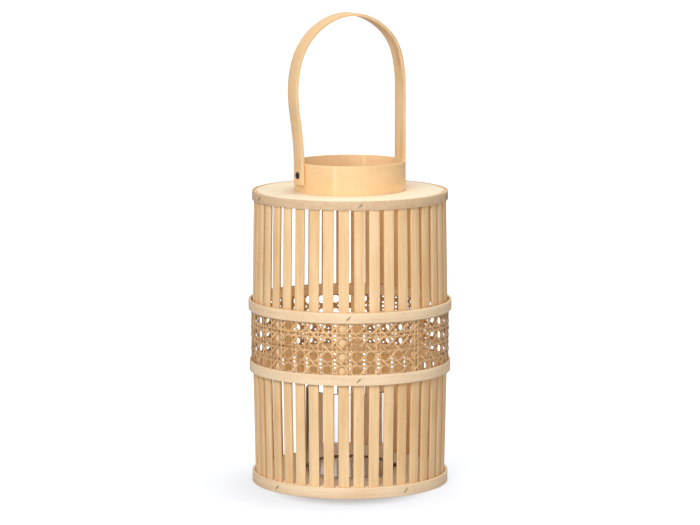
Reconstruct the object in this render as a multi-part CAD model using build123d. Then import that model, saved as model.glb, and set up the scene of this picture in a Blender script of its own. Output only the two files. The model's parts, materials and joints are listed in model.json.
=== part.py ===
from build123d import *
import math
import os

# Candle lantern: a barrel-shaped cage of bamboo slats between two discs, with a
# band of woven cane round its waist, a round collar on top, a bent strap handle
# that swings on two rivets, and a loose glass cylinder standing in the base.
# Millimetres. The origin is on the table under the cage's axis, +Z is up, and
# the handle's two rivets lie along X. The handle's bowed leg is on the -X side.

# ---- heights above the table ----
base_bottom_z = 2.0
floor_thick = 4.0
base_ring_thick = 3.8
bottom_hoop_height = 9.8
lower_hoop_z = 102.2
lower_hoop_height = 9.6
upper_hoop_z = 158.0
upper_hoop_height = 9.2
top_hoop_height = 8.3
top_disc_thick = 4.0
cage_height = 266.1
collar_rise = 26.3
slat_foot_z = 0.4
slat_head_below_disc_top = 0.6
slat_end_in_hoop = 1.0

# ---- the barrel shape: the slats' outer faces are widest at the upper hoop ----
cage_radius = 88.3
bottom_inset = 2.6
lower_hoop_inset = 0.3
top_inset = 1.7

# ---- slats and posts ----
slat_count = 40
slat_width = 9.3
slat_thick = 2.0
first_post_angle = 12.9
posts = 8
slats_between_posts = slat_count // posts - 1

# ---- hoops, discs and the cane band ----
bottom_hoop_thick = 2.5
lower_hoop_thick = 1.6
upper_hoop_thick = 2.4
top_hoop_thick = 1.6
inner_hoop_thick = 1.8
cane_thick = 1.1
cane_behind_hoop = 7.0
seat_gap = 0.10
bottom_hoop_gap = 0.4

# ---- glass cylinder, and the room it has in the recess and in the collar ----
glass_radius = 40.2
glass_height = 79.4
glass_wall = 2.2
glass_floor = 2.6
glass_foot_round = 1.8
glass_rim_round = 0.9
glass_gap_in_recess = 8.7
glass_gap_in_collar = 7.5

# ---- collar and rivets ----
collar_wall = 2.5
collar_hole_gap = 0.15
rivet_below_rim = 10.9
rivet_radius = 1.5
rivet_running_gap = 0.05
rivet_head_radius = 3.2
rivet_head_height = 1.3
rivet_side_gap = 0.10
washer_radius = 3.6
washer_thick = 0.8
rivet_tail_radius = 2.3
rivet_tail_height = 0.7

# ---- handle ----
handle_width = 16.0
handle_thick = 2.8
handle_gap = 0.25
handle_tail = 8.2
handle_rise = 142.6
crown_shift = 2.5
# Where the strap's middle line passes on its way over: how far inside the line of
# the straight lower leg, and how far below the crown. The bowed leg leans outwards.
bowed_side = [(-5.8, 66.6), (2.0, 30.7), (15.4, 13.9)]
straight_side = [(15.6, 16.4), (4.5, 34.5), (0.9, 51.6), (0.0, 74.6)]

# ---- hoop staples ----
staple_length = 5.0
staple_wire = 0.8
staple_proud = 0.45
staple_leg = 1.2
staple_lean = 45.0

# ---- worked out ----
floor_top_z = base_bottom_z + floor_thick
base_ring_top_z = floor_top_z + base_ring_thick
top_hoop_z = cage_height - top_hoop_height
disc_bottom_z = cage_height - top_disc_thick
collar_top_z = cage_height + collar_rise
pivot_z = collar_top_z - rivet_below_rim
crown_z = pivot_z + handle_rise
recess_radius = glass_radius + glass_gap_in_recess
collar_radius = glass_radius + glass_gap_in_collar + collar_wall
slat_pitch = 360.0 / slat_count
barrel = [
    (0.0, cage_radius - bottom_inset),
    (lower_hoop_z + lower_hoop_height / 2, cage_radius - lower_hoop_inset),
    (upper_hoop_z + upper_hoop_height / 2, cage_radius),
    (cage_height, cage_radius - top_inset),
]


def slat_face_radius(z):
    """Distance from the axis to the middle of a slat's outer face at height z."""
    for (z_low, r_low), (z_high, r_high) in zip(barrel, barrel[1:]):
        if z <= z_high:
            return r_low + (r_high - r_low) * (z - z_low) / (z_high - z_low)
    return barrel[-1][1]


def slat_corner_radius(z):
    """Distance from the axis to a slat's outer corner at height z."""
    return math.hypot(slat_face_radius(z), slat_width / 2)


def widest(z_low, z_high):
    """The widest that the ring of slats gets between two heights."""
    inside = [z for z, _ in barrel if z_low < z < z_high]
    return max(slat_corner_radius(z) for z in [z_low, *inside, z_high])


def narrowest_inside(z_low, z_high):
    """The least distance from the axis to a slat's inner face between two heights."""
    inside = [z for z, _ in barrel if z_low < z < z_high]
    return min(slat_face_radius(z) for z in [z_low, *inside, z_high]) - slat_thick


def tube(outer, inner, z_low, z_high):
    """A round tube about the Z axis."""
    bottom = (Align.CENTER, Align.CENTER, Align.MIN)
    height = z_high - z_low
    solid = Cylinder(outer, height, align=bottom) - Cylinder(inner, height, align=bottom)
    return Pos(0, 0, z_low) * solid


def disc(outer, z_low, z_high):
    """A plain round plate about the Z axis."""
    return Pos(0, 0, z_low) * Cylinder(outer, z_high - z_low, align=(Align.CENTER, Align.CENTER, Align.MIN))


def slat(z_low, z_high, angle):
    """One flat slat that follows the barrel shape from z_low to z_high."""
    kinks = [z for z, _ in barrel if z_low < z < z_high]
    heights = [z_low, *kinks, z_high]
    outside = [(slat_face_radius(z), z) for z in heights]
    inside = [(r - slat_thick, z) for r, z in reversed(outside)]
    side = make_face(Plane.XZ * Polyline(*outside, *inside, close=True))
    return Rot(0, 0, angle) * extrude(side, slat_width / 2, both=True)


def slat_group(z_low, z_high, post):
    """The slats that stand between one post and the next."""
    start = first_post_angle + post * slat_pitch * (slats_between_posts + 1)
    return [slat(z_low, z_high, start + slat_pitch * (i + 1)) for i in range(slats_between_posts)]


def handle_line():
    """The middle line of the bent strap, from one tail to the other, in the XZ plane."""
    leg_x = collar_radius + handle_gap + handle_thick / 2
    tail_z = pivot_z - handle_tail
    up_bowed = [(-leg_x + inside, 0, crown_z - below) for inside, below in bowed_side]
    down_straight = [(leg_x - inside, 0, crown_z - below) for inside, below in straight_side]
    crown = (crown_shift, 0, crown_z)
    arch = Spline(
        (-leg_x, 0, collar_top_z),
        *up_bowed,
        crown,
        *down_straight,
        tangents=[(0, 0, 1), (0, 0, -1)],
    )
    bowed_leg = Line((-leg_x, 0, tail_z), arch @ 0)
    straight_leg = Line(arch @ 1, (leg_x, 0, tail_z))
    return Wire([bowed_leg, arch, straight_leg])


def handle():
    """The bent strap with a running hole for a rivet through each leg."""
    line = handle_line()
    start = Plane(origin=line @ 0, x_dir=(1, 0, 0), z_dir=line % 0)
    strap = sweep(start * Rectangle(handle_thick, handle_width), path=line)
    bore = Pos(0, 0, pivot_z) * Rot(0, 90, 0) * Cylinder(rivet_radius + rivet_running_gap, 3 * collar_radius)
    return strap - bore


def collar():
    """The round neck, glued into the disc's hole, with a hole for each rivet."""
    neck = tube(collar_radius, collar_radius - collar_wall, disc_bottom_z, collar_top_z)
    bore = Pos(0, 0, pivot_z) * Rot(0, 90, 0) * Cylinder(rivet_radius, 3 * collar_radius)
    return neck - bore


def washer_face_x():
    """Where a flat washer first meets the collar's round inner wall."""
    return math.sqrt((collar_radius - collar_wall) ** 2 - washer_radius**2) - seat_gap


def rivet(side):
    """A domed rivet through one handle leg and the collar wall, spread over its washer inside."""
    head_x = collar_radius + handle_gap + handle_thick + rivet_side_gap
    tail_x = washer_face_x() - washer_thick
    along_x = Rot(0, 90, 0)
    button = Cylinder(rivet_head_radius, rivet_head_height)
    crown = button.edges().filter_by(GeomType.CIRCLE).group_by(Axis.Z)[-1]
    head = Pos(head_x + rivet_head_height / 2, 0, 0) * along_x * fillet(crown, 0.9 * rivet_head_height)
    shank = Pos((head_x + tail_x) / 2, 0, 0) * along_x * Cylinder(rivet_radius, head_x - tail_x)
    tail = Pos(tail_x - rivet_tail_height / 2, 0, 0) * along_x * Cylinder(rivet_tail_radius, rivet_tail_height)
    solid = Pos(0, 0, pivot_z) * (head + shank + tail)
    return Rot(0, 0, 180) * solid if side == "left" else solid


def rivet_washer(side):
    """The flat washer between the collar's inner wall and a rivet's spread tail."""
    ring = Cylinder(washer_radius, washer_thick) - Cylinder(rivet_radius, washer_thick)
    solid = Pos(washer_face_x() - washer_thick / 2, 0, pivot_z) * Rot(0, 90, 0) * ring
    return Rot(0, 0, 180) * solid if side == "left" else solid


def glass_cylinder():
    """A straight-sided glass with a thick floor, a rounded foot and a rounded rim."""
    solid = disc(glass_radius, 0, glass_height) - disc(glass_radius - glass_wall, glass_floor, glass_height)
    foot = solid.edges().filter_by(GeomType.CIRCLE).group_by(Axis.Z)[0]
    solid = fillet(foot, glass_foot_round)
    rim = solid.edges().filter_by(GeomType.CIRCLE).group_by(Axis.Z)[-1]
    solid = fillet(rim, min(glass_rim_round, 0.45 * glass_wall))
    return Pos(0, 0, floor_top_z) * solid


def staple(radius, z, angle):
    """One staple: a short leaning crown that lies on a hoop, with two legs driven into it."""
    depth = staple_proud + staple_leg
    crown = Pos(staple_proud / 2, 0, 0) * Box(staple_proud, staple_wire, staple_length)
    leg_z = staple_length / 2 - staple_wire / 2
    legs = [Pos(staple_proud - depth / 2, 0, s * leg_z) * Box(depth, staple_wire, staple_wire) for s in (-1, 1)]
    solid = crown + legs[0] + legs[1]
    return Rot(0, 0, angle) * Pos(radius, 0, z) * Rot(-staple_lean, 0, 0) * solid


# ---- rings that follow the slats ----
base_radius = narrowest_inside(slat_foot_z, base_ring_top_z) - seat_gap
disc_radius = narrowest_inside(disc_bottom_z, cage_height) - seat_gap
bottom_hoop_inner = widest(slat_foot_z, bottom_hoop_height) + bottom_hoop_gap
top_hoop_inner = widest(top_hoop_z, cage_height) + seat_gap
cane_z = lower_hoop_z + lower_hoop_height - cane_behind_hoop
cane_top_z = upper_hoop_z + cane_behind_hoop
cane_inner = widest(lower_hoop_z, upper_hoop_z + upper_hoop_height) + seat_gap
cane_outer = cane_inner + cane_thick
mid_hoop_inner = cane_outer + seat_gap
lower_inner_hoop_outer = narrowest_inside(lower_hoop_z, lower_hoop_z + lower_hoop_height) - seat_gap
upper_inner_hoop_outer = narrowest_inside(upper_hoop_z, upper_hoop_z + upper_hoop_height) - seat_gap

bottom_hoop_outer = bottom_hoop_inner + bottom_hoop_thick
lower_hoop_outer = mid_hoop_inner + lower_hoop_thick
upper_hoop_outer = mid_hoop_inner + upper_hoop_thick
top_hoop_outer = top_hoop_inner + top_hoop_thick

lower_hoop_top = lower_hoop_z + lower_hoop_height
upper_hoop_top = upper_hoop_z + upper_hoop_height
slat_head_z = cage_height - slat_head_below_disc_top

nodes = {
    "base_floor": disc(base_radius, base_bottom_z, floor_top_z),
    "base_ring": tube(base_radius, recess_radius, floor_top_z, base_ring_top_z),
    "bottom_hoop": tube(bottom_hoop_outer, bottom_hoop_inner, 0, bottom_hoop_height),
    "lower_hoop": tube(lower_hoop_outer, mid_hoop_inner, lower_hoop_z, lower_hoop_top),
    "upper_hoop": tube(upper_hoop_outer, mid_hoop_inner, upper_hoop_z, upper_hoop_top),
    "top_hoop": tube(top_hoop_outer, top_hoop_inner, top_hoop_z, cage_height),
    "lower_inner_hoop": tube(
        lower_inner_hoop_outer,
        lower_inner_hoop_outer - inner_hoop_thick,
        lower_hoop_z,
        lower_hoop_top,
    ),
    "upper_inner_hoop": tube(
        upper_inner_hoop_outer,
        upper_inner_hoop_outer - inner_hoop_thick,
        upper_hoop_z,
        upper_hoop_top,
    ),
    "cane_band": tube(cane_outer, cane_inner, cane_z, cane_top_z),
    "top_disc": tube(disc_radius, collar_radius + collar_hole_gap, disc_bottom_z, cage_height),
    "collar": collar(),
    "handle": handle(),
    "glass_cylinder": glass_cylinder(),
}

for side in ("left", "right"):
    nodes[f"rivet_{side}"] = rivet(side)
    nodes[f"rivet_washer_{side}"] = rivet_washer(side)

for post in range(posts):
    angle = first_post_angle + post * slat_pitch * (slats_between_posts + 1)
    number = post + 1
    nodes[f"post_{number}"] = slat(slat_foot_z, slat_head_z, angle)
    lower_end = lower_hoop_top - slat_end_in_hoop
    upper_end = upper_hoop_z + slat_end_in_hoop
    nodes[f"lower_slats_{number}"] = Compound(children=slat_group(slat_foot_z, lower_end, post))
    nodes[f"upper_slats_{number}"] = Compound(children=slat_group(upper_end, slat_head_z, post))

# Staples lie on the middle of each hoop: outer radius, height, first angle, turn to the next, how many.
staple_rows = [
    (bottom_hoop_outer, bottom_hoop_height / 2, 194.5, 81.0, 4),
    (lower_hoop_outer, lower_hoop_z + lower_hoop_height / 2, 246.4, 120.0, 3),
    (upper_hoop_outer, upper_hoop_z + upper_hoop_height / 2, 240.8, 120.0, 3),
    (top_hoop_outer, top_hoop_z + top_hoop_height / 2, 247.5, 72.0, 5),
]
staples = []
for radius, z, first, turn, count in staple_rows:
    staples += [staple(radius, z, first + turn * i) for i in range(count)]
nodes["hoop_staples"] = Compound(children=staples)

os.makedirs("parts", exist_ok=True)
for name, shape in nodes.items():
    export_step(shape, f"parts/{name}.step")

print("handle strap length", round(handle_line().length, 1))
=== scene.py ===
import json
import math
import random
from contextlib import contextmanager

import bmesh
import bpy
from mathutils import Matrix, Vector

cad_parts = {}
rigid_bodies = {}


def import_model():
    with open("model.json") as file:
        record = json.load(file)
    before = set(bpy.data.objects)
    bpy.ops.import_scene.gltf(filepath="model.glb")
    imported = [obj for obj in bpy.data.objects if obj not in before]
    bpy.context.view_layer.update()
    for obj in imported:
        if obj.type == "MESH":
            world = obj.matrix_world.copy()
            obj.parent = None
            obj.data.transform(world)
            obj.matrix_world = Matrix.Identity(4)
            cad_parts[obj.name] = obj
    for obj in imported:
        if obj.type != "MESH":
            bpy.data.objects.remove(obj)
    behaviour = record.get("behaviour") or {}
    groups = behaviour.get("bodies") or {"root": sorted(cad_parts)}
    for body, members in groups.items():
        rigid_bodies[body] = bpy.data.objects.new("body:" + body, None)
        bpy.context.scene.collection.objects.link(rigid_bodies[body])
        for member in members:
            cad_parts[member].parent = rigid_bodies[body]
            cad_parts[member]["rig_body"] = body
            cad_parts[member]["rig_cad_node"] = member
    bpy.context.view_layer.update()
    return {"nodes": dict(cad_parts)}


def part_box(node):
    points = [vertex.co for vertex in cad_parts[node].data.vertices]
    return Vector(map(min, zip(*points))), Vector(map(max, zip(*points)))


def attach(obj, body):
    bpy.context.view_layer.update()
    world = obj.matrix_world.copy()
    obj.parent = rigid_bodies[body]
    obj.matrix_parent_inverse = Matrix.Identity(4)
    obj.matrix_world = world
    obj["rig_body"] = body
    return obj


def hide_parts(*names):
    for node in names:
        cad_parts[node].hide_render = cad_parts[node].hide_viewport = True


bl_info = {
    "name": "Bamboo candle lantern",
    "version": (1, 0, 0),
    "blender": (4, 5, 0),
    "location": "3D View > Sidebar > Lantern",
    "description": "Models a barrel-shaped bamboo lantern with a woven cane waist round its CAD frame",
    "category": "Object",
}

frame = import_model()

MM = 0.001
DISC_SIDES = 160


# ---- sizes read from the frame


def corners(node):
    """Every corner point of a CAD node."""
    return [v.co for v in frame["nodes"][node].data.vertices]


def radii(node):
    """The least and the greatest distance of a round CAD node from the Z axis."""
    found = [math.hypot(p.x, p.y) for p in corners(node)]
    return min(found), max(found)


def heights(node):
    """The lowest and the highest point of a CAD node."""
    low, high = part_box(node)
    return low.z, high.z


def nodes_named(start):
    """The CAD nodes whose names are this word and a number, in the order of their numbers."""
    found = [n for n in frame["nodes"] if n.startswith(start) and n[len(start):].isdigit()]
    return sorted(found, key=lambda n: int(n[len(start):]))


def angle_of(node):
    """The angle about the Z axis at which a CAD node stands."""
    points = corners(node)
    return math.atan2(sum(p.y for p in points), sum(p.x for p in points))


def post_outline():
    """A post's cross-section: its width and thickness, and its outer face's distance from the
    axis at each height where its line turns."""
    outward = Matrix.Rotation(-angle_of("post_1"), 3, "Z")
    points = [outward @ p for p in corners("post_1")]
    width = 2 * max(p.y for p in points)
    levels = sorted({round(p.z, 5) for p in points})
    line = [(z, max(p.x for p in points if abs(p.z - z) < MM / 10)) for z in levels]
    foot = [p.x for p in points if abs(p.z - levels[0]) < MM / 10]
    return width, max(foot) - min(foot), line


SLAT_WIDTH, SLAT_THICK, SLAT_LINE = post_outline()
POSTS = nodes_named("post_")
FIRST_POST_ANGLE = angle_of("post_1")
CANE_INNER, CANE_OUTER = radii("cane_band")
CANE_LOW, CANE_HIGH = heights("cane_band")
PIVOT_HEIGHT = sum(heights("rivet_left")) / 2


# ---- what a user may change


def length_property(name, description, default):
    """A length in metres, shown in the file's own units."""
    return bpy.props.FloatProperty(
        name=name, description=description, default=default, subtype="DISTANCE", unit="LENGTH"
    )


def colour_property(name, description, default):
    """A colour without alpha."""
    return bpy.props.FloatVectorProperty(
        name=name, description=description, default=default, subtype="COLOR", size=3, min=0.0, max=1.0
    )


class LanternSizes(bpy.types.PropertyGroup):
    """Sizes of the small features that the frame doesn't hold."""

    slat_rounding: length_property("Slat rounding", "Radius of a slat's long edges", 0.45 * MM)
    hoop_rounding: length_property("Hoop rounding", "Radius of a hoop's edges", 0.45 * MM)
    hoop_joint_gap: length_property("Hoop joint gap", "Gap between the two ends of a bent hoop", 0.3 * MM)
    hoop_joint_slant: length_property("Hoop joint slant", "How far the cut across a hoop's end leans", 5 * MM)
    disc_rounding: length_property("Disc rounding", "Radius of a disc's sanded edges", 0.35 * MM)
    strap_rounding: length_property("Strap rounding", "Radius of the handle strap's edges", 0.55 * MM)
    collar_rounding: length_property("Collar rounding", "Radius of the collar's rim", 0.3 * MM)
    cane_row_pitch: length_property("Cane row pitch", "Height from one level pair to the next", 12.6 * MM)
    cane_row_drop: length_property("Cane row drop", "How far the rows lie below the middle", 0.8 * MM)
    cane_wander: length_property("Cane wander", "How far the strands wander from straight lines", 0.9 * MM)
    cane_pair_gap: length_property("Cane pair spacing", "From one strand of a pair to the other", 3.9 * MM)
    cane_straight_width: length_property("Cane strand", "Width of the upright and level strands", 2.0 * MM)
    cane_slant_width: length_property("Slanted cane strand", "Width of the slanted strands", 2.3 * MM)
    cane_strand_thick: length_property("Cane thickness", "Thickness of one strand", 0.45 * MM)
    staple_rounding: length_property("Staple rounding", "Radius of a staple's wire", 0.28 * MM)
    glass_foot_rounding: length_property("Glass foot rounding", "Radius of the glass's foot", 1.8 * MM)
    glass_inner_rounding: length_property("Glass inner rounding", "Radius between wall and floor", 2 * MM)
    glass_rim_rounding: length_property("Glass rim rounding", "Radius of the glass's rim", 0.9 * MM)
    rivet_shank: length_property("Rivet shank", "Radius of a rivet's shank", 1.5 * MM)
    rivet_tail_radius: length_property("Rivet tail radius", "Radius of a rivet's spread end", 2.3 * MM)
    rivet_tail_height: length_property("Rivet tail height", "Height of a rivet's spread end", 0.7 * MM)
    cane_seam_gap: length_property("Cane seam gap", "Gap where the cane's two ends meet", 0.8 * MM)
    unevenness: bpy.props.FloatProperty(
        name="Unevenness", description="How much slats differ from one another, where 1 is hand work",
        default=1.0, min=0.0, max=3.0,
    )


class LanternColours(bpy.types.PropertyGroup):
    """Colours of the materials."""

    slat_light: colour_property("Slat, light", "Pale fibres of a slat", (0.96, 0.66, 0.36))
    slat_dark: colour_property("Slat, dark", "Dark fibres of a slat", (0.78, 0.46, 0.195))
    hoop_light: colour_property("Hoop, light", "Pale fibres of a hoop", (0.96, 0.72, 0.47))
    hoop_dark: colour_property("Hoop, dark", "Dark fibres of a hoop", (0.80, 0.51, 0.27))
    strap_light: colour_property("Bent strip, light", "Pale grain of handle and collar", (0.91, 0.605, 0.315))
    strap_dark: colour_property("Bent strip, dark", "Dark grain of handle and collar", (0.78, 0.47, 0.215))
    disc_light: colour_property("Disc, light", "Pale grain of the discs", (0.98, 0.83, 0.62))
    disc_dark: colour_property("Disc, dark", "Dark grain of the discs", (0.90, 0.70, 0.46))
    scorched: colour_property("Scorched edge", "Edge of a hole cut by heat", (0.055, 0.022, 0.009))
    cane_light: colour_property("Cane, light", "Glossy side of a cane strand", (1.0, 0.62, 0.29))
    cane_dark: colour_property("Cane, dark", "Darker cane strands", (0.50, 0.23, 0.06))
    # Painted shade on the sides of cane strands and where they dive under other strands.
    cane_painted_shade: colour_property("Cane, shaded", "Sides and hidden ends of strands", (0.16, 0.062, 0.012))
    rivet_dark: colour_property("Rivet", "Dark bronzed steel", (0.055, 0.036, 0.025))
    staple_grey: colour_property("Staple", "Dull staple wire", (0.30, 0.25, 0.19))
    floor_white: colour_property("Floor", "The pale floor that the lantern stands on", (0.47, 0.49, 0.53))


# ---- modelling helpers


def pick(*pieces):
    """Selects these objects alone, the last one active."""
    bpy.ops.object.select_all(action="DESELECT")
    for piece in pieces:
        piece.select_set(True)
    bpy.context.view_layer.objects.active = pieces[-1]


@contextmanager
def edit(piece):
    """Edit mode on one piece."""
    pick(piece)
    bpy.ops.object.mode_set(mode="EDIT")
    yield
    bpy.ops.object.mode_set(mode="OBJECT")


def choose(piece, kind, test):
    """In edit mode, selects the VERT, EDGE or FACE items that pass a test, and nothing else."""
    bpy.ops.mesh.select_mode(type=kind)
    bpy.ops.mesh.select_all(action="DESELECT")
    mesh = bmesh.from_edit_mesh(piece.data)
    for item in {"VERT": mesh.verts, "EDGE": mesh.edges, "FACE": mesh.faces}[kind]:
        if test(item):
            item.select_set(True)
    mesh.select_flush_mode()
    bmesh.update_edit_mesh(piece.data)


def span(edge, axis):
    """How far an edge runs along an axis, 0, 1 or 2."""
    return abs(edge.verts[0].co[axis] - edge.verts[1].co[axis])


def settle(name):
    """Names the object just added and moves its place, turn and scale into its mesh."""
    piece = bpy.context.object
    pick(piece)
    bpy.ops.object.transform_apply(location=True, rotation=True, scale=True)
    piece.name = name
    piece.data.name = name
    return piece


def block(name, low, high):
    """A rectangular blank from its lowest to its highest corner."""
    bpy.ops.object.select_all(action="DESELECT")
    low, high = Vector(low), Vector(high)
    bpy.ops.mesh.primitive_cube_add(size=1, location=(low + high) / 2, scale=high - low)
    return settle(name)


def round_blank(name, radius, z_low, z_high, sides):
    """A round blank standing on the Z axis."""
    bpy.ops.object.select_all(action="DESELECT")
    place = (0, 0, (z_low + z_high) / 2)
    bpy.ops.mesh.primitive_cylinder_add(vertices=sides, radius=radius, depth=z_high - z_low, location=place)
    return settle(name)


def cut_into(piece, axis, lengths):
    """Divides a blank into even lengths along an axis, in two rounds because one is limited to 100 cuts."""
    whole = max(v.co[axis] for v in piece.data.vertices) - min(v.co[axis] for v in piece.data.vertices)
    first = next(n for n in range(math.ceil(lengths / 100), lengths + 1) if lengths % n == 0)
    with edit(piece):
        for done, number in ((1, first), (first, lengths // first)):
            if number > 1:
                choose(piece, "EDGE", lambda e: span(e, axis) > 0.7 * whole / done)
                bpy.ops.mesh.subdivide(number_cuts=number - 1)


def levels_along(piece, axis):
    """The places along an axis where a piece has corners."""
    return sorted({round(v.co[axis], 6) for v in piece.data.vertices})


def shift_level(piece, axis, place, move):
    """In edit mode, moves the ring of corners at one place along an axis."""
    choose(piece, "VERT", lambda v: abs(v.co[axis] - place) < 0.02 * MM)
    bpy.ops.transform.translate(value=move)


def apply_modifier(piece, kind, **settings):
    """Adds a modifier with these settings and applies it."""
    modifier = piece.modifiers.new(kind.lower(), kind)
    for key, value in settings.items():
        setattr(modifier, key, value)
    pick(piece)
    bpy.ops.object.modifier_apply(modifier=modifier.name)


def round_edges(piece, radius, segments=2, angle=35):
    """Rounds every edge that is sharper than an angle."""
    apply_modifier(
        piece, "BEVEL", width=radius, segments=segments, limit_method="ANGLE",
        angle_limit=math.radians(angle), use_clamp_overlap=True,
    )


def smooth(piece, angle=40):
    """Shades a piece smooth, except across edges sharper than an angle."""
    pick(piece)
    bpy.ops.object.shade_smooth_by_angle(angle=math.radians(angle))


def write_marks(mesh, name, kind, field, values):
    """Writes one value or vector for each corner of a mesh."""
    marks = mesh.attributes.get(name) or mesh.attributes.new(name, kind, "POINT")
    marks.data.foreach_set(field, values)


def mark_grain(piece, read, tone=0.0):
    """Writes where each corner lies in the strip that the piece was cut from: along it, across it and
    through it, in metres. The wood's pattern follows this. tone is how dark this strip is, -1 to 1."""
    mesh = piece.data
    vectors = [part for v in mesh.vertices for part in read(v.co)]
    write_marks(mesh, "grain", "FLOAT_VECTOR", "vector", vectors)
    write_marks(mesh, "tone", "FLOAT", "value", [tone] * len(mesh.vertices))


def mark_edges(piece):
    """Writes how near each corner is to a rounded edge, 0 to 1: the angle between its faces."""
    mesh = bmesh.new()
    mesh.from_mesh(piece.data)
    mesh.normal_update()
    values = []
    for v in mesh.verts:
        turns = [e.calc_face_angle(0.0) for e in v.link_edges]
        values.append(min(1.0, max(turns, default=0.0) / math.radians(50)))
    mesh.free()
    write_marks(piece.data, "edge", "FLOAT", "value", values)


def copy_of(piece, name, matrix=None):
    """A copy with its own mesh, moved by a matrix."""
    made = piece.copy()
    made.data = piece.data.copy()
    made.name = made.data.name = name
    bpy.context.scene.collection.objects.link(made)
    if matrix is not None:
        made.data.transform(matrix)
    return made


def copy_of_node(node, name):
    """A merged copy of a CAD node's mesh, with its flat faces whole again."""
    made = copy_of(frame["nodes"][node], name)
    made.parent = None
    made.data.materials.clear()
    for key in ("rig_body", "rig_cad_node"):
        del made[key]
    with edit(made):
        bpy.ops.mesh.select_all(action="SELECT")
        bpy.ops.mesh.remove_doubles(threshold=0.001 * MM)
        bpy.ops.mesh.customdata_custom_splitnormals_clear()
        bpy.ops.mesh.dissolve_limited(angle_limit=math.radians(0.6))
    return made


def join(pieces, name):
    """Joins pieces into one object."""
    pick(*pieces)
    if len(pieces) > 1:
        bpy.ops.object.join()
    made = bpy.context.object
    made.name = made.data.name = name
    return made


def remove(*pieces):
    """Deletes the patterns that copies were made from."""
    for piece in pieces:
        bpy.data.objects.remove(piece)


def hand_over(piece, body, slot, material, *nodes):
    """Gives a finished piece its material and its body, and hides the CAD nodes it stands for; slot is not
    used.
    """
    piece.data.materials.clear()
    piece.data.materials.append(material)
    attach(piece, body)
    if nodes:
        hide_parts(*nodes)


def wrap_round(piece, radius, middle_angle):
    """Bends a flat panel that faces -Y into a round wall about the Z axis. The panel's middle
    comes to middle_angle, and its X runs counter-clockwise."""
    places = [v.co.x for v in piece.data.vertices]
    bend = (max(places) - min(places)) / radius
    apply_modifier(piece, "SIMPLE_DEFORM", deform_method="BEND", deform_axis="Z", angle=bend)
    turn = Matrix.Rotation(middle_angle + math.pi / 2, 4, "Z")
    piece.data.transform(turn @ Matrix.Translation((0, -radius, 0)))


def bent_strip(
    name, inner, outer, z_low, z_high, seam_angle, gap, slant, rounding, tone=0.0, end_tone=0.0, lengths=144
):
    """A flat strip bent into a ring, with a slanted cut where its two ends meet at seam_angle.
    end_tone makes one end of the strip darker than the other."""
    radius = (inner + outer) / 2
    half = math.pi * radius - gap / 2
    strip = block(name, (-half, inner - radius, z_low), (half, outer - radius, z_high))
    middle = (z_low + z_high) / 2
    with edit(strip):
        choose(strip, "VERT", lambda v: v.co.z > middle)
        bpy.ops.transform.translate(value=(slant / 2, 0, 0))
        choose(strip, "VERT", lambda v: v.co.z < middle)
        bpy.ops.transform.translate(value=(-slant / 2, 0, 0))
        choose(strip, "EDGE", lambda e: span(e, 0) > half)
        bpy.ops.mesh.bevel(offset=rounding, segments=3, affect="EDGES")
    cut_into(strip, 0, lengths)
    mark_edges(strip)
    mark_grain(strip, lambda p: (p.x, p.z, p.y), tone)
    if end_tone:
        tones = [tone + end_tone * v.co.x / half for v in strip.data.vertices]
        write_marks(strip.data, "tone", "FLOAT", "value", tones)
    wrap_round(strip, radius, seam_angle + math.pi)
    smooth(strip)
    return strip


def ring_plate(name, inner, outer, z_low, z_high):
    """A round plate with a round hole, cut from a blank by insetting its faces and bridging them."""
    plate = round_blank(name, outer, z_low, z_high, DISC_SIDES)
    with edit(plate):
        choose(plate, "FACE", lambda f: abs(f.normal.z) > 0.9)
        bpy.ops.mesh.inset(thickness=outer - inner, use_boundary=True, use_even_offset=True)
        bpy.ops.mesh.bridge_edge_loops()
    return plate


# ---- shader groups


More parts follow.
